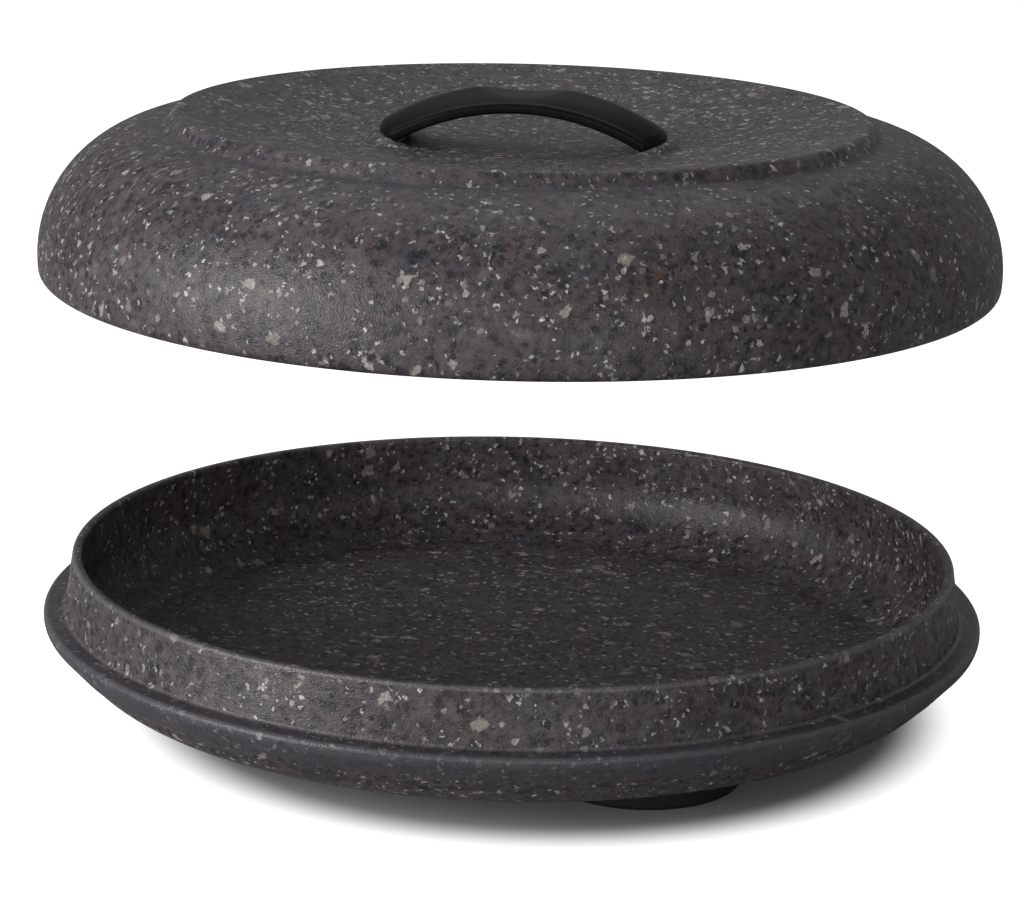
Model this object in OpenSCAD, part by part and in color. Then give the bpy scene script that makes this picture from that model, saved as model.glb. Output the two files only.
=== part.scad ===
// Round lidded warmer: a shallow dish on three feet under a domed lid with a strap handle.
// Millimetres, +Z up. z = 0 is the table, and the dish's axis is x = y = 0.
// The lid is drawn lifted straight off the dish, lid_lift above where it closes.

/* [Dish] */
// Outer radius of the rim wall at its top edge
rim_r = 109.2; // [95:0.1:125]
// How much wider the rim wall is at its foot than at its top
wall_draft = 1.8; // [0.5:0.1:3]
// Height of the rim wall above the ledge that the lid sits on
rim_h = 13.6; // [9:0.1:20]
// Thickness of the rim wall
rim_wall = 2.4; // [2:0.1:3.4]
// Height of the ledge above the table
ledge_z = 22.8; // [21:0.1:30]
// Thickness of the dish's floor
floor_t = 2.8; // [2:0.1:4]
// Radius of the outer bend between the floor and the shoulder
bend_r = 17; // [13:0.1:19]
// How far the shoulder stands out past the top of the bend
shoulder_out = 6.5; // [5:0.1:8]

/* [Feet] */
// Height of the feet, which is how far the dish's floor is off the table
foot_h = 6.4; // [4.5:0.1:8]
// Radius of a foot
foot_r = 24; // [15:0.1:26]
// How far a foot's middle lies in from where the bend begins
foot_in = 26.2; // [25:0.1:45]
// How far the ring of feet is turned from the line of the handle, in degrees
foot_turn = 4; // [0:1:20]
// Radius of the moulded stud that a foot is pushed on
stud_r = 7; // [5:0.1:9]
// Length of the moulded stud
stud_h = 3; // [2:0.1:3.5]
// Gap between a stud and its foot, all round and at its end
stud_gap = 0.15; // [0.1:0.05:0.4]

/* [Lid] */
// Height that the lid is lifted above where it closes
lid_lift = 83; // [60:0.5:120]
// Gap between the closed lid's edge and the ledge
lid_gap = 0.3; // [0.2:0.05:0.6]
// Sideways play between the lid's mouth and the foot of the rim wall
lid_play = 2.5; // [1.5:0.1:4]
// Thickness of the lid
lid_wall = 3; // [2.4:0.1:3.6]
// Radius of the lid's rounded side
side_r = 31; // [27:0.1:34]
// Height of the lid's widest ring above its edge
bulge_h = 4.9; // [3.5:0.1:8]
// How far in from the widest ring the groove round the crown lies
groove_in = 24.7; // [22:0.1:26]
// Height of the crown above the groove
crown_h = 4.1; // [3.4:0.1:7]
// Depth of the shallow well in the crown
well_depth = 9.2; // [6:0.1:12]

/* [Handle] */
// Length of the strap between its two ends
handle_l = 69.6; // [60:0.1:80]
// Width of the strap
handle_w = 20; // [16:0.1:24]
// Thickness of the strap at its edges
handle_t = 2.7; // [2.4:0.1:3.6]
// Height of the strap's rounded top above its edges
handle_crown = 3.1; // [2:0.1:3.6]
// Finger room under the middle of the strap
finger_h = 10; // [8.5:0.1:14]
// Radius of the strap's rounded ends, seen from above
end_r = 13.6; // [12:0.1:20]
// Length of the flat heel at each end of the strap
heel_l = 4.6; // [4.4:0.1:6]
// Depth of the thumb scoop in the middle of the strap's top
scoop = 2.3; // [1.4:0.1:2.6]
// Gap between the strap's end and its pocket in the lid
pocket_gap = 0.2; // [0.1:0.05:0.5]
// Height of the moulded collar round each end of the strap
collar_h = 2.4; // [1.8:0.1:3]
// Width of the collar's top
collar_w = 0.9; // [0.8:0.1:2]
// Lean of the collar's flank
collar_lean = 42; // [30:1:55]
// Tilt that lets the collar run out into the well beside the strap
collar_tilt = 15; // [12:0.5:18]

/* [Pins] */
// Radius of a pin's shank
pin_r = 1.5; // [1.2:0.05:1.6]
// Gap round a pin's shank
pin_gap = 0.1; // [0.05:0.05:0.2]
// Wall of the strap left outside a pin, at the strap's end
pin_edge = 0.9; // [0.6:0.1:1.2]
// How far a pin reaches into the strap
pin_grip = 3; // [2.4:0.1:3.2]
// Radius of a pin's head
pin_head_r = 4; // [3:0.1:5]
// Thickness of a pin's head
pin_head_t = 1.8; // [1.2:0.1:2.5]

/* [Hidden] */
$fn = 96;
foot_count = 3;                                // as many as NODES has

GRANITE = [0.22, 0.21, 0.22];
BLACK = [0.05, 0.05, 0.05];
RUBBER = [0.09, 0.09, 0.09];

// Points of an arc about c, from angle a0 to a1
function arc(c, r, a0, a1, n = 8) =
    [for (i = [0:n]) let (a = a0 + (a1 - a0) * i / n) c + r * [cos(a), sin(a)]];

// ---- what the dish and the lid share ----
wall_foot_r = rim_r + wall_draft;
mouth_r = wall_foot_r + lid_play;
lid_r = mouth_r + lid_wall;
shoulder_r = lid_r - 0.2;
rim_z = ledge_z + rim_h;

// ---- dish ----
bend_end = -36;                       // angle at which the bend stops under the shoulder
setback = 1;                          // step from the bend out to the shoulder
bend_top_r = shoulder_r - shoulder_out;
bend_c = [bend_top_r - bend_r * cos(bend_end), foot_h + bend_r];
bend_top = bend_c + bend_r * [cos(bend_end), sin(bend_end)];
shoulder_round = 3;                   // the shoulder's lower edge
shoulder_edge = 1.2;                  // its upper edge, at the ledge
ledge_fillet = 0.8;
rim_round = 0.9;
slope_end = -42;                      // angle at which the shoulder's slope meets its edge
foot_ring_r = bend_c[0] - foot_in;
inner_bend_r = bend_r - floor_t;
inner_foot_r = wall_foot_r - rim_wall - 0.3;
inner_bend_c = [inner_foot_r - inner_bend_r, foot_h + floor_t + inner_bend_r];

function dish_profile() = concat(
    [[0, foot_h]],
    arc(bend_c, bend_r, -90, bend_end, 10),
    [bend_top + setback * [1, 0.6]],
    arc([shoulder_r - shoulder_round, ledge_z - shoulder_edge - 0.4], shoulder_round, slope_end, 0, 6),
    arc([shoulder_r - shoulder_edge, ledge_z - shoulder_edge], shoulder_edge, 0, 90, 5),
    arc([wall_foot_r + ledge_fillet, ledge_z + ledge_fillet], ledge_fillet, -90, -180, 4),
    arc([rim_r - rim_round, rim_z - rim_round], rim_round, 0, 90, 4),
    arc([rim_r - rim_wall + rim_round, rim_z - rim_round], rim_round, 90, 180, 4),
    arc(inner_bend_c, inner_bend_r, 0, -90, 10),
    [[0, foot_h + floor_t]]
);

// ---- lid ----
lid_z = ledge_z + lid_gap + lid_lift;          // height of the lid's edge as drawn
edge_round = 2.4;
side_c = [lid_r - side_r, lid_z + bulge_h];
side_low = -asin((bulge_h - edge_round) / side_r);
side_high = acos((side_r - groove_in) / side_r);
groove_round = 1.4;
groove_c = side_c + (side_r + groove_round) * [cos(side_high), sin(side_high)];
step_lean = 35;                                // angle of the crown's flank, from outwards to up
step_foot = groove_c - groove_round * [cos(step_lean), sin(step_lean)];
lip_round = 1.8;
lip_z = side_c[1] + side_r * sin(side_high) + crown_h;
lip_rise = (lip_z - lip_round * (1 - sin(step_lean)) - step_foot[1]) / cos(step_lean);
lip_c = step_foot + lip_rise * [-sin(step_lean), cos(step_lean)]
    - lip_round * [cos(step_lean), sin(step_lean)];

// The well is part of a large sphere that runs smoothly into the lip
well_z = lip_z - well_depth;
lip_over_well = lip_c[1] - well_z;
well_r = (pow(lip_c[0], 2) + pow(lip_over_well, 2) - pow(lip_round, 2))
    / (2 * (lip_round + lip_over_well));
well_c = [0, well_z + well_r];
well_half = asin(lip_c[0] / (well_r + lip_round));
function well_at(r) = well_c[1] - sqrt(pow(well_r, 2) - pow(r, 2));

inner_side_r = side_r - lid_wall;
inner_step_r = step_foot[0] - lid_wall * cos(step_lean);
inner_high = acos((inner_step_r - side_c[0]) / inner_side_r);
inner_step_z = step_foot[1] - lid_wall * sin(step_lean);
inner_well_half = asin(lip_c[0] / (well_r + lid_wall));

function lid_profile() = concat(
    [[mouth_r, lid_z + 0.5]],
    arc([side_c[0] + side_r * cos(side_low) - edge_round, lid_z + edge_round], edge_round, -90, -6, 6),
    arc(side_c, side_r, side_low, side_high, 20),
    arc(groove_c, groove_round, side_high + 180, step_lean + 180, 5),
    arc(lip_c, lip_round, step_lean, 90 + well_half, 6),
    arc(well_c, well_r, -90 + well_half - 1, -90, 12),
    arc(well_c, well_r + lid_wall, -90, -90 + inner_well_half, 12),
    [[inner_step_r, inner_step_z]],
    arc(side_c, inner_side_r, inner_high, 0, 18)
);

// ---- handle ----
half_l = handle_l / 2;
end_x = half_l - end_r;                        // middle of the rounded end
pin_x = half_l - pin_edge - pin_gap - pin_r;
seat_z = well_at(pin_x) + 0.3;                 // flat floor of the pockets in the lid
arch_top = well_z + finger_h;                  // underside of the strap at its middle
arch_in = half_l - heel_l;                     // where the underside comes down to the seat
arch_r = (pow(arch_in, 2) + pow(arch_top - seat_z, 2)) / (2 * (arch_top - seat_z));
arch_z = arch_top - arch_r;
strap_r = arch_r + handle_t;
strap_round = 1.2;
scoop_r = 40;                                  // radius of the thumb scoop along the strap

// Section of the strap: distance from the arch's axis, and place across the width
function strap_section() = let (
    h = handle_w / 2,
    top = h - strap_round,
    brow = atan(2 * handle_crown / top)        // slope of the rounded top at its edges
) concat(
    arc([arch_r + strap_round, -top], strap_round, 270, 180, 4),
    arc([arch_r + strap_round, top], strap_round, 180, 90, 4),
    arc([strap_r - strap_round, top], strap_round, 90, brow, 4),
    [for (i = [4:-1:-4]) let (w = top * i / 5) [strap_r + handle_crown * (1 - pow(w / top, 2)), w]],
    arc([strap_r - strap_round, -top], strap_round, -brow, -90, 4)
);

// ---- pins ----
pin_pad_t = 0.8;                               // how far the pad under the lid stands down
pin_pad_r = pin_head_r + 1;
pin_seat_z = well_at(pin_x) - lid_wall - pin_pad_t;

module base_dish() {
    color(GRANITE) {
        rotate_extrude() polygon(dish_profile());
        at_feet() translate([0, 0, foot_h - stud_h])
            cylinder(r = stud_r, h = stud_h + floor_t / 2);
    }
}

module at_feet() {
    for (i = [0:foot_count - 1]) foot_place(i) children();
}

// Foot 0 is at the left, and the others follow anticlockwise
module foot_place(i) {
    rotate(180 + foot_turn + i * 360 / foot_count) translate([foot_ring_r, 0, 0]) children();
}

module foot(i) {
    tread = 1.2;                               // rounding of the lower edge
    socket_r = stud_r + stud_gap;
    socket_top = foot_h - stud_h - stud_gap;
    color(RUBBER) foot_place(i) rotate_extrude() polygon(concat(
        [[0, 0]],
        arc([foot_r - tread, tread], tread, -90, 0, 5),
        [
            [foot_r, foot_h],
            [socket_r, foot_h],
            [socket_r, socket_top],
            [0, socket_top]
        ]
    ));
}

module at_handle_ends() {
    children();
    mirror([1, 0, 0]) children();
}

module lid_shell() {
    bore_r = pin_r + pin_gap;
    color(GRANITE) difference() {
        union() {
            rotate_extrude() polygon(lid_profile());
            at_handle_ends() collar();
            at_handle_ends() translate([pin_x, 0, pin_seat_z])
                cylinder(r = pin_pad_r, h = pin_pad_t + lid_wall / 2);
        }
        strap_plan(pocket_gap);
        at_handle_ends() translate([pin_x, 0, pin_seat_z - 1])
            cylinder(r = bore_r, h = lid_wall + pin_pad_t + 4);
    }
}

// Low moulded collar round the strap's end, which runs out into the well beside the strap
module collar() {
    top_edge = 0.6;
    top_r = end_r + pocket_gap + collar_w;
    brow = [top_r, -top_edge] + top_edge * [cos(collar_lean) - 1, sin(collar_lean)];
    flank = (collar_h + lid_wall) / cos(collar_lean);
    depth = flank * cos(collar_lean) - brow[1];
    difference() {
        intersection() {
            translate([end_x + top_r, 0, well_at(half_l) + collar_h]) rotate([0, -collar_tilt, 0])
                translate([-top_r, 0, 0]) rotate_extrude() polygon(concat(
                    [[0, -depth], brow + flank * [sin(collar_lean), -cos(collar_lean)]],
                    arc([top_r - top_edge, -top_edge], top_edge, collar_lean, 90, 3),
                    [[0, 0]]
                ));
            above_mid_wall();
        }
        translate([-arch_in, -handle_w / 2 - pocket_gap, well_z - lid_wall])
            cube([2 * arch_in, handle_w + 2 * pocket_gap, 2 * finger_h]);
    }
}

// All that lies above the middle of the well's wall, as far as the collars reach
module above_mid_wall() {
    r = well_r + lid_wall / 2;
    reach = asin((half_l + 2 * handle_w) / r);
    top_z = well_z + 2 * finger_h;
    rotate_extrude() polygon(concat(
        arc(well_c, r, -90, -90 + reach, 8),
        [[r * sin(reach), top_z], [0, top_z]]
    ));
}

// Plan of the strap, grown by a gap: straight sides and rounded ends
module strap_plan(gap) {
    intersection() {
        translate([-handle_l, -handle_w / 2 - gap, seat_z]) cube([2 * handle_l, handle_w + 2 * gap, 2 * finger_h]);
        union() {
            translate([-end_x, -handle_w, seat_z]) cube([2 * end_x, 2 * handle_w, 2 * finger_h]);
            at_handle_ends() translate([end_x, 0, seat_z]) cylinder(r = end_r + gap, h = 2 * finger_h);
        }
    }
}

module handle() {
    overrun = 8;                               // the strap runs past its ends, and is cut there
    reach = asin(half_l / strap_r) + overrun;
    color(BLACK) difference() {
        intersection() {
            translate([0, 0, arch_z]) rotate([90, 0, 0]) rotate([0, 0, 90 - reach])
                rotate_extrude(angle = 2 * reach) polygon(strap_section());
            strap_plan(0);
        }
        translate([0, handle_w, arch_z + strap_r + handle_crown - scoop + scoop_r])
            rotate([90, 0, 0]) cylinder(r = scoop_r, h = 2 * handle_w);
        at_handle_ends() translate([pin_x, 0, seat_z - 1])
            cylinder(r = pin_r + pin_gap, h = pin_grip + pin_gap + 1);
    }
}

// Push pin: a flat head inside the lid, a shank, and a tip that eases it into the strap
module handle_pin(side) {
    tip = 0.5;
    head_edge = 0.5;
    tip_z = seat_z + pin_grip;
    color(BLACK) translate([side * pin_x, 0, 0]) rotate_extrude() polygon([
        [0, pin_seat_z - pin_head_t],
        [pin_head_r - head_edge, pin_seat_z - pin_head_t],
        [pin_head_r, pin_seat_z - pin_head_t + head_edge],
        [pin_head_r, pin_seat_z],
        [pin_r, pin_seat_z],
        [pin_r, tip_z - tip],
        [pin_r - tip, tip_z],
        [0, tip_z]
    ]);
}

base_dish();
foot(1);  // foot_front_right
foot(2);  // foot_rear_right
foot(0);  // foot_left
lid_shell();
handle();
handle_pin(-1);  // handle_pin_left
handle_pin(1);  // handle_pin_right
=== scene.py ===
import math

import bpy
import numpy as np
from mathutils import Euler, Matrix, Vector


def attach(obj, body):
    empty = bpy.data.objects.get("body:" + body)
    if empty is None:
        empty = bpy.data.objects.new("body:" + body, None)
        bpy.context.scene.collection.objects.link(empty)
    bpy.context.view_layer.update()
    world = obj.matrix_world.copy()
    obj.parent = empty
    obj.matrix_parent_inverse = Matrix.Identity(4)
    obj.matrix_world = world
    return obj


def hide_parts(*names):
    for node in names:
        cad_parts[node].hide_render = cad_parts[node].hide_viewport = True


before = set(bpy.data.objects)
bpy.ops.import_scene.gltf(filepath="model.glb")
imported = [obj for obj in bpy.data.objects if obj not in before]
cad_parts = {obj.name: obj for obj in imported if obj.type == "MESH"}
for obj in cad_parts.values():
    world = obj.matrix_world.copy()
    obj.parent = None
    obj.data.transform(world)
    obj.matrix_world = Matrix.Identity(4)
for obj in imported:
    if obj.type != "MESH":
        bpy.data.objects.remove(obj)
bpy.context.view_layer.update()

# ---- Dish ----
# One moulded shell of charcoal plastic with stone-like chips stirred through it. Its floor turns up in
# a wide bend to a shoulder, whose ledge the lid sits on. The thin rim wall stands on the inside of that
# ledge, drafted 1.8 mm so that it leaves the mould.

MM = 0.001
rim_r, wall_draft, rim_h, rim_wall = 109.2, 1.8, 13.6, 2.4
ledge_z, floor_t, bend_r, shoulder_out, foot_h = 22.8, 2.8, 17.0, 6.5, 6.4
lid_play, lid_wall = 2.5, 3.0
shoulder_in, shoulder_drop, wall_taper = 0.2, 1.6, 0.3
shoulder_round, shoulder_edge, ledge_fillet, rim_round = 3.0, 1.2, 0.8, 0.9
wall_foot_r = rim_r + wall_draft
mouth_r = wall_foot_r + lid_play
lid_r = mouth_r + lid_wall
shoulder_r = lid_r - shoulder_in
rim_z = ledge_z + rim_h


def arc(centre, r, a0, a1, step=6.0):
    """Points of an arc in the plane of radius and height, at most step degrees apart."""
    n = max(2, math.ceil(abs(a1 - a0) / step))
    turn = [math.radians(a0 + (a1 - a0) * i / n) for i in range(n + 1)]
    return [(centre[0] + r * math.cos(a), centre[1] + r * math.sin(a)) for a in turn]


bend_end, slope_end, setback, setback_up = -36, -42, 1.0, 0.6
bend_top_r = shoulder_r - shoulder_out
bend_c = (bend_top_r - bend_r * math.cos(math.radians(bend_end)), foot_h + bend_r)
bend_top = arc(bend_c, bend_r, -90, bend_end)[-1]
inner_bend_r = bend_r - floor_t
inner_foot_r = wall_foot_r - rim_wall - wall_taper
inner_bend_c = (inner_foot_r - inner_bend_r, foot_h + floor_t + inner_bend_r)
floor_rings = (30, 60)
dish_outline = (
    [(r, foot_h) for r in (0, *floor_rings)]
    + arc(bend_c, bend_r, -90, bend_end, step=3)
    + [(bend_top[0] + setback, bend_top[1] + setback_up)]
    + arc((shoulder_r - shoulder_round, ledge_z - shoulder_drop), shoulder_round, slope_end, 0, step=7)
    + arc((shoulder_r - shoulder_edge, ledge_z - shoulder_edge), shoulder_edge, 0, 90, step=12)
    + arc((wall_foot_r + ledge_fillet, ledge_z + ledge_fillet), ledge_fillet, -90, -180, step=15)
    + arc((rim_r - rim_round, rim_z - rim_round), rim_round, 0, 90, step=12)
    + arc((rim_r - rim_wall + rim_round, rim_z - rim_round), rim_round, 90, 180, step=12)
    + arc(inner_bend_c, inner_bend_r, 0, -90, step=4)
    + [(r, foot_h + floor_t) for r in (*reversed(floor_rings), 0)]
)


def held_edges(outline, near=0.35, long=2.2):
    """Puts a point close to each end of a long straight, so that smooth shading stays in the bends."""
    points = []
    for (r0, z0), (r1, z1) in zip(outline, outline[1:]):
        run = math.hypot(r1 - r0, z1 - z0)
        points.append((r0, z0))
        if run > long:
            for t in (near / run, 1 - near / run):
                points.append((r0 + (r1 - r0) * t, z0 + (z1 - z0) * t))
    return points + [outline[-1]]


def solid(name, points, faces):
    """A smoothly shaded closed shape, from points in millimetres."""
    mesh =bpy.data.meshes.new(name)
    mesh.from_pydata((np.asarray(points, float) * MM).tolist(), [], [[int(i) for i in f] for f in faces])
    mesh.update()
    mesh.shade_smooth()
    return placed(name, mesh)


def placed(name, data):
    """Puts a mesh, a lamp or the camera in the scene."""
    made =bpy.data.objects.new(name, data)
    bpy.context.scene.collection.objects.link(made)
    return made


def turned(name, outline, around=288, lift=None):
    """Turns an outline that starts and ends on the axis into a closed shell. lift(x, y, z) raises it."""
    outline = held_edges(outline)
    turn = np.arange(around) * 2 * math.pi / around
    ring = np.array(outline[1:-1])
    x, y = np.outer(ring[:, 0], np.cos(turn)), np.outer(ring[:, 0], np.sin(turn))
    points = np.stack([x, y, np.repeat(ring[:, 1:], around, 1)], -1).reshape(-1, 3)
    points = np.vstack([points, (0, 0, outline[0][1]), (0, 0, outline[-1][1])])
    if lift is not None:
        points[:, 2] += lift(points[:, 0], points[:, 1], points[:, 2])
    last_ring = (len(ring) - 1) * around
    start, end = len(ring) * around, len(ring) * around + 1
    pairs = list(enumerate(np.roll(np.arange(around), -1)))
    faces = []
    for a in range(0, last_ring, around):
        b = a + around
        faces += [(a + i, a + j, b + j, b + i) for i, j in pairs]
    faces += [(start, j, i) for i, j in pairs]
    faces += [(last_ring + i, last_ring + j, end) for i, j in pairs]
    return solid(name, points, faces)


class Wire:
    """A socket of a node. An expression on wires and numbers adds its Math nodes."""

    def __init__(self, nodes, socket):
        self.nodes, self.socket = nodes, socket

    def _math(self, operation, *values):
        return self.nodes.node("ShaderNodeMath", {"operation": operation}, values)["Value"]

    def __add__(self, other):
        return self._math("ADD", self, other)

    def __mul__(self, other):
        return self._math("MULTIPLY", self, other)

    def __sub__(self, other):
        return self._math("SUBTRACT", self, other)

    def __rsub__(self, other):
        return self._math("SUBTRACT", other, self)

    def __lt__(self, other):
        return self._math("LESS_THAN", self, other)

    def __or__(self, other):
        """The larger of the two, so a mask that is on where either is."""
        return self._math("MAXIMUM", self, other)

    __radd__, __rmul__ = __add__, __mul__

    def ease(self, low, high):
        """0 at low, 1 at high, with a soft start and end."""
        span = {"Value": self, "From Min": low, "From Max": high}
        return self.nodes.node("ShaderNodeMapRange", {"interpolation_type": "SMOOTHSTEP"}, span)["Result"]


class Nodes:
    """A node tree under construction. Colours are given as three numbers."""

    def __init__(self, tree):
        self.tree = tree

    def node(self, kind, settings=None, values=()):
        """Adds a node and gives its outputs by name. values go to its inputs, in order or by name."""
        made = self.tree.nodes.new(kind)
        for name, value in (settings or {}).items():
            setattr(made, name, value)
        pairs = values.items() if isinstance(values, dict) else enumerate(values)
        for key, value in pairs:
            self.feed(made.inputs[key] if isinstance(key, int) else self.used_input(made, key), value)
        return {s.name: Wire(self, s) for s in made.outputs if s.enabled}

    def used_input(self, made, name):
        return next(s for s in made.inputs if s.enabled and name in (s.identifier, s.name))

    def feed(self, socket, value):
        if isinstance(value, Wire):
            self.tree.links.new(value.socket, socket)
        elif socket.type == "RGBA":
            socket.default_value = (*value, 1)
        else:
            socket.default_value = value


class Paint(Nodes):
    """A material, or the world, with one shader that goes to its output."""

    def __init__(self, name, kept_in=bpy.data.materials, shader="Principled BSDF", **fixed):
        self.made = kept_in.new(name)
        self.made.use_nodes = True
        super().__init__(self.made.node_tree)
        self.shader = self.tree.nodes[shader]
        self.finish(**fixed)

    def finish(self, **sockets):
        """Feeds the shader's sockets, and gives the material or the world."""
        for name, value in sockets.items():
            self.feed(self.shader.inputs[name.replace("_", " ")], value)
        return self.made

    def mix(self, share, below, above):
        """Colour below where share is 0, above where it is 1."""
        colours = {"Factor": share, "A": below, "B": above}
        return self.node("ShaderNodeMix", {"data_type": "RGBA"}, colours)["Result"]

    def vector(self, operation, *values):
        made = self.node("ShaderNodeVectorMath", {"operation": operation}, values)
        return made.get("Vector") or made["Value"]

    def millimetres(self):
        return self.vector("MULTIPLY", self.node("ShaderNodeTexCoord")["Object"], (1000, 1000, 1000))

    def moved(self, where, shift, stretch=(1, 1, 1)):
        place = {"Vector": where, "Location": shift, "Scale": stretch}
        return self.node("ShaderNodeMapping", None, place)["Vector"]

    def noise(self, where, size, detail=2.0, roughness=0.5, give="Fac"):
        look = {"Vector": where, "Scale": 1.0 / size, "Detail": detail, "Roughness": roughness}
        return self.node("ShaderNodeTexNoise", None, look)[give]

    def dented(self, height, strength, depth):
        dents = {"Height": height, "Strength": strength, "Distance": depth}
        return self.node("ShaderNodeBump", None, dents)["Normal"]


def chips(paint, where, size, share, fill, soft, mottle=None, spread=0.45):
    """Scattered angular chips: in a share of the cells of that size, a piece that fills part of the cell,
    by up to spread less. Gives how much a chip shows here, and two random numbers of its own."""
    grid = {"Vector": where, "Scale": 1.0 / size}
    cells = paint.node("ShaderNodeTexVoronoi", {"feature": "F1"}, grid)
    edge = paint.node("ShaderNodeTexVoronoi", {"feature": "DISTANCE_TO_EDGE"}, grid)
    luck = paint.node("ShaderNodeSeparateColor", None, {"Color": cells["Color"]})
    inset = edge["Distance"] - luck["Blue"] * (spread * fill)
    wall = 0.5 * (1 - fill)
    body = inset.ease(wall - soft, wall + soft) * (luck["Red"] < share)
    if mottle is not None:
        body = body * (0.6 + mottle.ease(0.3, 0.7) * 0.5)
    return body, luck["Green"], luck["Blue"]


def near_ring(paint, skin, radius, height, near, far):
    """1 on a circle round the axis, 0 further from it than far."""
    out = paint.vector("LENGTH", paint.vector("MULTIPLY", skin, (1, 1, 0))) - radius
    up = paint.node("ShaderNodeSeparateXYZ", None, [skin])["Z"] - height
    gap = paint.node("ShaderNodeCombineXYZ", None, [out, up, 0.0])["Vector"]
    return paint.vector("LENGTH", gap).ease(far, near)


def speckled_plastic():
    """Charcoal plastic with white, grey, blue-black and brown chips, some at the skin and some just under
    it. It is satin, with a fine leathery stipple from the mould."""
    paint = Paint("speckled_plastic", Specular_IOR_Level=0.44)
    skin = paint.millimetres()
    grit = paint.noise(skin, 0.55, roughness=0.6)

    # The ground: charcoal in two casts, paler clouds, and a fine smoke of grey and black
    cool, warm, black = (0.046, 0.040, 0.049), (0.072, 0.051, 0.051), (0.011, 0.011, 0.015)
    cloud_grey, drift_grey, smoke_grey = (0.080, 0.073, 0.079), (0.105, 0.095, 0.097), (0.122, 0.105, 0.104)
    cast = paint.noise(paint.moved(skin, (40, 0, 0)), 9.0, 3.0, 0.6)
    cloud = paint.noise(skin, 14.0, 3.0, 0.6)
    drift = paint.noise(paint.moved(skin, (0, 0, 80)), 5.0, 3.0, 0.6)
    smoke = paint.noise(paint.moved(skin, (0, 60, 0)), 2.2, 3.0, 0.65)
    ground = paint.mix(cast.ease(0.36, 0.64), cool, warm)
    ground = paint.mix(cloud.ease(0.35, 0.68) * 0.55, ground, cloud_grey)
    ground = paint.mix(drift.ease(0.50, 0.74) * 0.5, ground, drift_grey)
    ground = paint.mix(smoke.ease(0.50, 0.78) * 0.75, ground, smoke_grey)
    ground = paint.mix(smoke.ease(0.52, 0.30) * 0.9, ground, black)

    # Few chips reach the skin at the shoulder and in the lid's groove, and many in the lid's well
    groove, well, plain_grey = (87.5, 140.5), (0.0, 140.0), (0.056, 0.054, 0.065)
    plain = near_ring(paint, skin, shoulder_r - 0.3, ledge_z - 3.3, 3.4, 6.4)
    plain = plain + near_ring(paint, skin, *groove, 1.5, 5.5) * 0.6
    ground = paint.mix(plain * 0.7, ground, plain_grey)
    bare = 1 - plain * 0.6
    crowd = paint.noise(paint.moved(skin, (0, 0, 25)), 10.0).ease(0.34, 0.66)
    crowd = crowd + near_ring(paint, skin, *well, 60.0, 84.0) * 0.8

    # The chips, with ragged edges: dark and brown ones, dim ones under the skin, then bright ones at the skin
    blue_black, ink, brown = (0.006, 0.007, 0.011), (0.006, 0.007, 0.012), (0.115, 0.046, 0.034)
    tan, mist = (0.18, 0.150, 0.138), (0.25, 0.245, 0.245)
    sand, stone = (0.32, 0.27, 0.24), (0.60, 0.58, 0.57)
    shell, white, dust = (0.38, 0.35, 0.33), (0.84, 0.83, 0.825), (0.52, 0.51, 0.51)
    large_share, small_share, dust_share = 0.05 + crowd * 0.16, 0.05 + crowd * 0.22, 0.05 + crowd * 0.12
    squat = (1, 1, 0.75)
    wobble = paint.vector("SUBTRACT", paint.noise(skin, 0.9, give="Color"), (0.5, 0.5, 0.5))
    ragged = paint.vector("MULTIPLY_ADD", wobble, (1.5, 1.5, 1.5), skin)
    kinds = (
        # size, share, fill, soft edge, shift and stretch, how much shows, shades, mottling
        (3.0, 0.46, 0.74, 0.05, [(7, 3, 1)], (0.6, 0.4), [blue_black], grit),
        (1.7, 0.38, 0.84, 0.06, [(1, 9, 5)], (0.65, 0.4), [ink], grit),
        (2.2, 0.10, 0.62, 0.16, [(3, 5, 11)], (0.3, 0.5), [brown], grit),
        (4.0, 0.26, 0.60, 0.24, [(13, 2, 8)], (0.15, 0.4), [tan, mist], grit),
        (3.5, large_share, 0.72, 0.05, [(2, 17, 4), squat], (0.35, 0.65), [sand, stone], grit),
        (1.8, small_share, 0.78, 0.07, [(21, 1, 6)], (0.2, 0.8), [shell, white], grit),
        (0.95, dust_share, 0.90, 0.10, [(5, 31, 9)], (0.15, 0.85), [dust], None),
    )
    for size, share, fill, soft, place, (least, more), shades, mottle in kinds:
        body, rise, pale = chips(paint, paint.moved(ragged, *place), size, share, fill, soft, mottle)
        shade = shades[0] if len(shades) == 1 else paint.mix(pale, *shades)
        ground = paint.mix(body * (least + more * rise) * bare, ground, shade)

    # Painted highlight: thin paler lines on the rim's edge, the ledge's edge and the line at the wall's foot;
    # they are a little glossier too
    edge_highlight_grey = (0.155, 0.150, 0.160)
    edge_highlight_and_gloss = near_ring(paint, skin, rim_r - 0.2, rim_z - 0.3, 0.3, 1.1)
    edge_highlight_and_gloss = edge_highlight_and_gloss + near_ring(paint, skin, wall_foot_r + 0.4, ledge_z + 0.1, 0.2, 0.8) * 0.6
    edge_highlight_and_gloss = edge_highlight_and_gloss + near_ring(paint, skin, shoulder_r - 0.4, ledge_z - 0.3, 0.3, 1.2) * 0.5
    ground = paint.mix(edge_highlight_and_gloss * 0.5, ground, edge_highlight_grey)

    stipple = paint.noise(skin, 0.42, 1.0, 0.6) + paint.noise(skin, 0.85, 1.0) * 0.5
    return paint.finish(
        Base_Color=ground,
        Roughness=0.38 + cloud * 0.10 - edge_highlight_and_gloss * 0.12,
        Normal=paint.dented(stipple, 0.8, 0.00020),
    )


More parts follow.
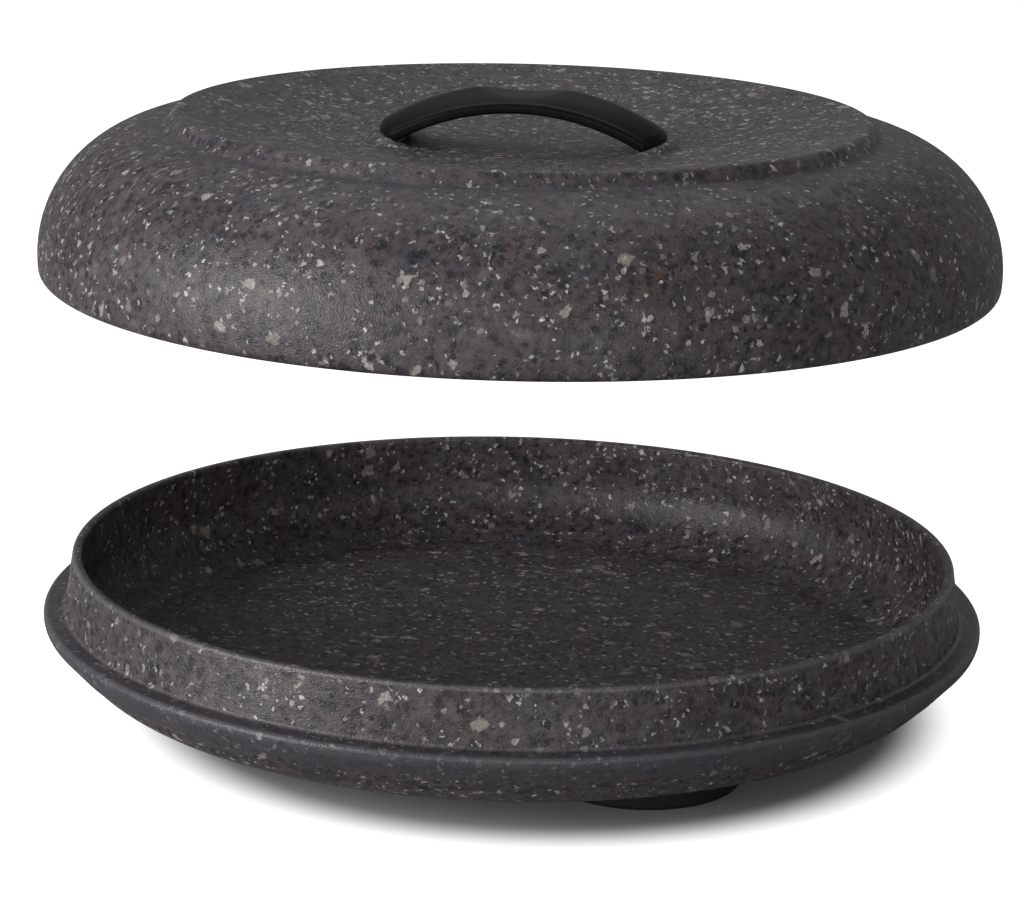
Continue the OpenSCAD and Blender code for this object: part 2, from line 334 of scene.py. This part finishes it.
def dress(piece, material, body, slot, *nodes):
    """Paints a piece, lets it ride on its body and stand for its CAD nodes."""
    piece.data.materials.clear()
    piece.data.materials.append(material)
    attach(piece, body)
    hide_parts(*nodes)


speckled = speckled_plastic()
dish = turned("dish_shell", dish_outline)
dress(dish, speckled, "base", "speckled_plastic", "base_dish")

# ---- Feet ----
# Three low round feet of soft black rubber, pushed on studs under the floor and set evenly round it.
# One foot is turned and then repeated round the ring.

foot_r, tread, foot_in, foot_turn = 24.0, 1.2, 26.2, 4.0
foot_ring_r = bend_c[0] - foot_in
foot_outline = [(0, 0), (foot_r / 2, 0)] + arc((foot_r - tread, tread), tread, -90, 0, step=12)
foot_pattern = turned("foot_pattern", foot_outline + [(foot_r, foot_h), (0, foot_h)], around=96)


def repeated(name, pattern, material, points_from, **sizes):
    """Sets copies of a pattern on the points that a Geometry Nodes tree makes, and gives one plain mesh."""
    tree = bpy.data.node_groups.new(name, "GeometryNodeTree")
    for side in ("INPUT", "OUTPUT"):
        tree.interface.new_socket("Geometry", in_out=side, socket_type="NodeSocketGeometry")
    settings = {}
    for label, value in sizes.items():
        kind = "NodeSocketInt" if isinstance(value, int) else "NodeSocketFloat"
        socket = tree.interface.new_socket(label, in_out="INPUT", socket_type=kind)
        socket.default_value = value
        settings[socket.identifier] = value
    laid = Nodes(tree)
    given = laid.node("NodeGroupInput")
    spots = {"Points": points_from(laid, given), "Instance": given["Geometry"]}
    copies = laid.node("GeometryNodeInstanceOnPoints", None, spots)["Instances"]
    real = laid.node("GeometryNodeRealizeInstances", None, {"Geometry": copies})["Geometry"]
    painted = laid.node("GeometryNodeSetMaterial", None, {"Geometry": real, "Material": material})
    laid.node("NodeGroupOutput", None, {"Geometry": painted["Geometry"]})
    modifier = pattern.modifiers.new(name, "NODES")
    modifier.node_group = tree
    for key, value in settings.items():
        modifier[key] = value
    bpy.context.view_layer.update()
    seen = pattern.evaluated_get(bpy.context.evaluated_depsgraph_get())
    mesh = bpy.data.meshes.new_from_object(seen)
    pattern.modifiers.remove(modifier)
    bpy.data.objects.remove(pattern)
    mesh.name = name
    return placed(name, mesh)


def ring_points(laid, given):
    """As many points as Count, evenly round a ring of that radius, the first at the left."""
    ring = {"Vertices": given["Count"], "Radius": given["Radius"]}
    circle = laid.node("GeometryNodeMeshCircle", None, ring)
    start = {"Geometry": circle["Mesh"], "Rotation": Euler((0, 0, math.radians(180 + foot_turn)))}
    return laid.node("GeometryNodeTransform", None, start)["Geometry"]


def foot_rubber():
    paint = Paint("foot_rubber", Specular_IOR_Level=0.3)
    grain = paint.noise(paint.millimetres(), 0.5)
    return paint.finish(
        Base_Color=paint.mix(grain.ease(0.3, 0.7), (0.008, 0.008, 0.008), (0.013, 0.013, 0.013)),
        Roughness=0.62 + grain * 0.12,
        Normal=paint.dented(grain, 0.15, 0.0001),
    )


rubber = foot_rubber()
feet = repeated("feet", foot_pattern, rubber, ring_points, Count=3, Radius=foot_ring_r * MM)
dress(feet, rubber, "base", "foot_rubber", "foot_left", "foot_front_right", "foot_rear_right")

# ---- Lid ----
# One moulded shell of the same plastic: a rounded side, a groove, and a raised crown with a shallow well.
# A low collar stands round each end of the handle and runs out into the well beside it.

lid_gap, lid_lift = 0.3, 83.0
side_r, bulge_h, groove_in, crown_h, well_depth = 31.0, 4.9, 29.5, 3.5, 9.2
edge_round, groove_round, step_lean, lip_round = 2.4, 1.4, 35.0, 1.8
lid_z = ledge_z + lid_gap + lid_lift
side_c = (lid_r - side_r, lid_z + bulge_h)
side_low = -math.degrees(math.asin((bulge_h - edge_round) / side_r))
side_high = math.degrees(math.acos((side_r - groove_in) / side_r))
side_low_r = side_c[0] + side_r * math.cos(math.radians(side_low))
groove_c = arc(side_c, side_r + groove_round, side_high, side_high)[0]
lean = math.radians(step_lean)
step_foot = (groove_c[0] - groove_round * math.cos(lean), groove_c[1] - groove_round * math.sin(lean))
lip_z = side_c[1] + side_r * math.sin(math.radians(side_high)) + crown_h
lip_rise = (lip_z - lip_round * (1 - math.sin(lean)) - step_foot[1]) / math.cos(lean)
lip_c = (
    step_foot[0] - lip_rise * math.sin(lean) - lip_round * math.cos(lean),
    step_foot[1] + lip_rise * math.cos(lean) - lip_round * math.sin(lean),
)
well_z = lip_z - well_depth
lip_over_well = lip_c[1] - well_z
well_r = (lip_c[0] ** 2 + lip_over_well**2 - lip_round**2) / (2 * (lip_round + lip_over_well))
well_c = (0, well_z + well_r)
well_half = math.degrees(math.asin(lip_c[0] / (well_r + lip_round)))
inner_side_r = side_r - lid_wall
inner_step_r = step_foot[0] - lid_wall * math.cos(lean)
inner_high = math.degrees(math.acos((inner_step_r - side_c[0]) / inner_side_r))
inner_well_half = math.degrees(math.asin(lip_c[0] / (well_r + lid_wall)))

# The strap's sizes, which the collars round its ends follow
handle_l, handle_w, handle_t, handle_crown = 69.6, 20.0, 2.7, 3.1
finger_h, end_r, heel_l, pin_edge, pin_r, pin_gap = 10.0, 13.6, 4.6, 0.9, 1.5, 0.1
half_l = handle_l / 2
end_x = half_l - end_r
arch_in = half_l - heel_l
pin_x = half_l - pin_edge - pin_gap - pin_r
pocket_gap, collar_h, collar_w, collar_tilt = 0.2, 2.4, 0.9, 15.0
brow_round, flank_slope, skirt_blend, skirt_trim = 0.6, 0.9, 0.3, 0.06
collar_start, collar_full, fade_start, fade_end = 19.0, 26.0, 5.0, 9.0
cut_start, cut_end, cut_side, collar_reach = arch_in - 0.7, arch_in + 0.2, 0.5, 60


def well_at(r):
    return well_c[1] - np.sqrt(well_r**2 - np.square(r))


def eased(value, low, high):
    t = np.clip((value - low) / (high - low), 0, 1)
    return t * t * (3 - 2 * t)


def collar_lift(x, y, z):
    """How far the two collars stand above the well at x, y. Under the strap they are cut away."""
    ax, ay, r = np.abs(x), np.abs(y), np.hypot(x, y)
    out = np.hypot(ax - end_x, ay) - (end_r + pocket_gap + collar_w)
    top = well_at(half_l) + collar_h - (half_l + collar_w - ax) * math.tan(math.radians(collar_tilt))
    flank_drop = np.sqrt(np.square(np.maximum(out, 0) / flank_slope) + brow_round**2) - brow_round
    rise = top - np.where(out > 0, flank_drop, 0) - well_at(r)
    rise = 0.5 * (rise + np.sqrt(rise**2 + skirt_blend)) - skirt_trim
    rise = rise * eased(ax, collar_start, collar_full) * (1 - eased(out, fade_start, fade_end))
    open_along = 1 - eased(ax, cut_start, cut_end)
    open_across = 1 - eased(ay, handle_w / 2, handle_w / 2 + cut_side)
    on_well = (z > well_at(r) - lid_wall / 3) & (r < collar_reach)
    return np.where(on_well, np.maximum(rise, 0) * (1 - open_along * open_across), 0)


# The rings of the well lie close together where the collars rise
collar_rings = np.arange(18.0, 50.0, 0.45).tolist()
well_rings = [0, 6, 12, 17, *collar_rings, 52, 56, 62, 68, 74, 79]
mouth_bevel = 0.5
lid_outline = (
    [(r, float(well_at(r))) for r in well_rings]
    + arc(lip_c, lip_round, 90 + well_half, step_lean, step=8)
    + arc(groove_c, groove_round, step_lean + 180, side_high + 180, step=8)
    + arc(side_c, side_r, side_high, side_low, step=3)
    + arc((side_low_r - edge_round, lid_z + edge_round), edge_round, -6, -90, step=10)
    + [(mouth_r, lid_z + mouth_bevel)]
    + arc(side_c, inner_side_r, 0, inner_high, step=4)
    + [(inner_step_r, step_foot[1] - lid_wall * math.sin(lean))]
    + arc(well_c, well_r + lid_wall, -90 + inner_well_half, -90, step=1)
)
lid = turned("lid_dome", lid_outline[::-1], around=360, lift=collar_lift)
dress(lid, speckled, "lid", "speckled_plastic", "lid_shell")

# ---- Handle ----
# A strap of smooth black plastic, bent to an arc across the well. Its top is crowned, with a shallow
# scoop for the thumb in the middle, and its rounded ends stand on flat heels inside the collars.

seat_rise = 0.3
seat_z = float(well_at(pin_x)) + seat_rise
arch_top = well_z + finger_h
arch_r = (arch_in**2 + (arch_top - seat_z) ** 2) / (2 * (arch_top - seat_z))
arch_z = arch_top - arch_r
strap_r = arch_r + handle_t
scoop, scoop_r, scoop_blend = 2.3, 40.0, 0.5
strap_round, top_round, under_round = 1.2, 1.25, 0.7


def strap(name, along=150, across=48, crowding=0.65, crowd_power=1.6):
    """A grid over the strap's plan, closer towards its edges, laid on its top and on its underside."""
    half_w = handle_w / 2
    even = np.linspace(-1, 1, along)
    crowded = np.sign(even) * (1 - (1 - np.abs(even)) ** crowd_power)
    u = (1 - crowding) * np.sin(even * math.pi / 2) + crowding * crowded
    v = np.sin(np.linspace(-1, 1, across) * math.pi / 2)
    uu, vv = np.meshgrid(u, v, indexing="ij")
    y = vv * half_w
    x = uu * (end_x + np.sqrt(end_r**2 - y**2))
    end_in = np.where(np.abs(x) > end_x, end_r - np.hypot(np.abs(x) - end_x, y), end_r)
    in_from_edge = np.maximum(np.minimum(half_w - np.abs(y), end_in), 0)

    def edge_drop(r):
        d = np.minimum(in_from_edge, r)
        return r - np.sqrt(np.maximum(r * r - (r - d) ** 2, 0))

    crowned = strap_r + handle_crown * (1 - np.minimum(np.abs(y) / (half_w - strap_round), 1) ** 2)
    top = arch_z + np.sqrt(crowned**2 - x**2)
    thumb = arch_z + strap_r + handle_crown - scoop + scoop_r - np.sqrt(scoop_r**2 - x**2)
    top = 0.5 * (top + thumb - np.sqrt((top - thumb) ** 2 + scoop_blend**2)) - edge_drop(top_round)
    arch = arch_z + np.sqrt(np.maximum(arch_r**2 - x**2, 0))
    under = np.maximum(arch, seat_z) + edge_drop(under_round)
    points = np.vstack([np.stack([x, y, z], -1).reshape(-1, 3) for z in (top, under)])
    at = np.arange(along * across).reshape(along, across)
    low = at + along * across
    faces = []
    for i in range(along - 1):
        for j in range(across - 1):
            faces.append((at[i, j], at[i + 1, j], at[i + 1, j + 1], at[i, j + 1]))
            faces.append((low[i, j], low[i, j + 1], low[i + 1, j + 1], low[i + 1, j]))
    rim = [*at[:, 0], *at[-1, 1:], *at[-2::-1, -1], *at[0, -2:0:-1]]
    for a, b in zip(rim, rim[1:] + rim[:1]):
        faces.append((a, a + along * across, b + along * across, b))
    return solid(name, points, faces)


def black_plastic():
    paint = Paint("black_plastic", Specular_IOR_Level=0.13)
    skin = paint.millimetres()
    haze = paint.noise(paint.moved(skin, (0, 0, 0), (0.4, 1, 1)), 5.0, 3.0)
    return paint.finish(
        Base_Color=paint.mix(haze.ease(0.3, 0.7), (0.0035, 0.0035, 0.0035), (0.0055, 0.0055, 0.0052)),
        Roughness=0.34 + haze * 0.12,
        Normal=paint.dented(paint.noise(skin, 0.35, 1.0), 0.06, 0.0001),
    )


black = black_plastic()
handle = strap("strap_handle")
dress(handle, black, "lid", "black_plastic", "handle")

# ---- Handle pins ----
# Two push pins of the same black plastic hold the strap from inside the lid, one at each end.
# One pin is turned, and repeated at both ends.

pin_grip, pin_head_r, pin_head_t, pin_pad_t, pin_round = 3.0, 4.0, 1.8, 0.8, 0.5
pin_seat_z = float(well_at(pin_x)) - lid_wall - pin_pad_t
pin_foot_z, pin_top_z = pin_seat_z - pin_head_t, seat_z + pin_grip
pin_outline = (
    [(0, pin_foot_z), (pin_head_r - 2 * pin_round, pin_foot_z)]
    + arc((pin_head_r - pin_round, pin_foot_z + pin_round), pin_round, -90, 0, step=15)
    + [(pin_head_r, pin_seat_z), (pin_r, pin_seat_z), (pin_r, pin_top_z - pin_round)]
    + [(pin_r - pin_round, pin_top_z), (0, pin_top_z)]
)
pin_pattern = turned("pin_pattern", pin_outline, around=48)


def pair_points(laid, given):
    """Two points, at minus and plus Reach along X."""
    left, right = ({"X": given["Reach"] * sign} for sign in (-1, 1))
    line = {
        "Count": 2,
        "Start Location": laid.node("ShaderNodeCombineXYZ", None, left)["Vector"],
        "Offset": laid.node("ShaderNodeCombineXYZ", None, right)["Vector"],
    }
    return laid.node("GeometryNodeMeshLine", {"mode": "END_POINTS"}, line)["Mesh"]


pins = repeated("handle_pins", pin_pattern, black, pair_points, Reach=pin_x * MM)
dress(pins, black, "lid", "black_plastic", "handle_pin_left", "handle_pin_right")

# ---- Table and light ----
# A table in a white room. To the camera it glows plain white, except in a soft disc round the object set a
# little to the right and front, where the glow fades out and its lit grey shows: the disc's darkening is
# painted shadow, with the lamps' real shadow inside it. A large soft lamp stands at the left in front, a wide
# one hangs overhead, and a low one reaches in under the lid.

shadow_centre, shadow_core, shadow_end = (0.008, -0.009, 0), 0.0866, 0.1055
table_half = 6
table = Paint("table_white", Base_Color=(0.50, 0.50, 0.50), Roughness=0.9, Specular_IOR_Level=0.0)
away = table.vector("DISTANCE", table.node("ShaderNodeTexCoord")["Object"], shadow_centre)
rays = table.node("ShaderNodeLightPath")
# Painted shadow: the camera sees the table glow white only away from shadow_centre, fading out inside
# shadow_end
white = (rays["Is Camera Ray"] | rays["Is Transmission Ray"]) * away.ease(shadow_core, shadow_end)
table.finish(Emission_Color=table.mix(white, (0, 0, 0), (1, 1, 1)), Emission_Strength=1.0)
sheet = bpy.data.meshes.new("table")
corners = [(x * table_half, y * table_half, 0) for x, y in ((-1, -1), (1, -1), (1, 1), (-1, 1))]
sheet.from_pydata(corners, [], [(0, 1, 2, 3)])
sheet.materials.append(table.made)
placed("table", sheet)

room_light, gloss_light = 0.20, 0.05
sky = Paint("studio", bpy.data.worlds, "Background", Color=(1, 1, 1))
rays = sky.node("ShaderNodeLightPath")
seen_white = rays["Is Camera Ray"] | rays["Is Transmission Ray"]
sky.finish(Strength=seen_white | rays["Is Glossy Ray"] * gloss_light + room_light)
bpy.context.scene.world = sky.made


def lamp(name, place, aim, size, watts, tone=(1, 1, 1)):
    light = bpy.data.lights.new(name, "AREA")
    light.color = tone
    light.shape, light.size, light.size_y, light.energy = "RECTANGLE", *size, watts
    made = placed(name, light)
    made.location = place
    made.rotation_euler = (Vector(aim) - Vector(place)).to_track_quat("-Z", "Y").to_euler()


lamp("key", (-1.20, -0.90, 0.50), (0, 0, 0.08), (0.8, 0.9), 21)
lamp("overhead", (-0.15, 0.6, 1.4), (0, 0, 0.08), (1.3, 1.1), 4.0, (0.90, 0.95, 1.0))
lamp("front", (0.35, -1.40, 0.34), (0, 0, 0.05), (0.8, 0.4), 3.9)

# ---- Camera ----
# Eight tenths of a metre away and 15 degrees above level, turned a little to the right of the front,
# with the photograph's slight roll. The lens is given by its focal length in the photograph's pixels.

distance, up, side, roll = 0.797, math.radians(14.86), math.radians(8.0), math.radians(1.33)
sensor, photo_px, focal_px, right_px, up_px = 36.0, 1024, 3217, 3.7, 1.8
target = Vector((0, 0, 0.060))
back = Vector((math.sin(side) * math.cos(up), -math.cos(side) * math.cos(up), math.sin(up)))
lens = bpy.data.cameras.new("camera")
lens.sensor_width, lens.lens = sensor, focal_px / photo_px * sensor
lens.shift_x, lens.shift_y = -right_px / photo_px, up_px / photo_px
camera = placed("camera", lens)
camera.location = target + back * distance
look = (target - camera.location).to_track_quat("-Z", "Y")
camera.rotation_euler = (look @ Euler((0, 0, roll)).to_quaternion()).to_euler()
bpy.context.scene.camera = camera
bpy.context.scene.view_settings.view_transform = "Standard"
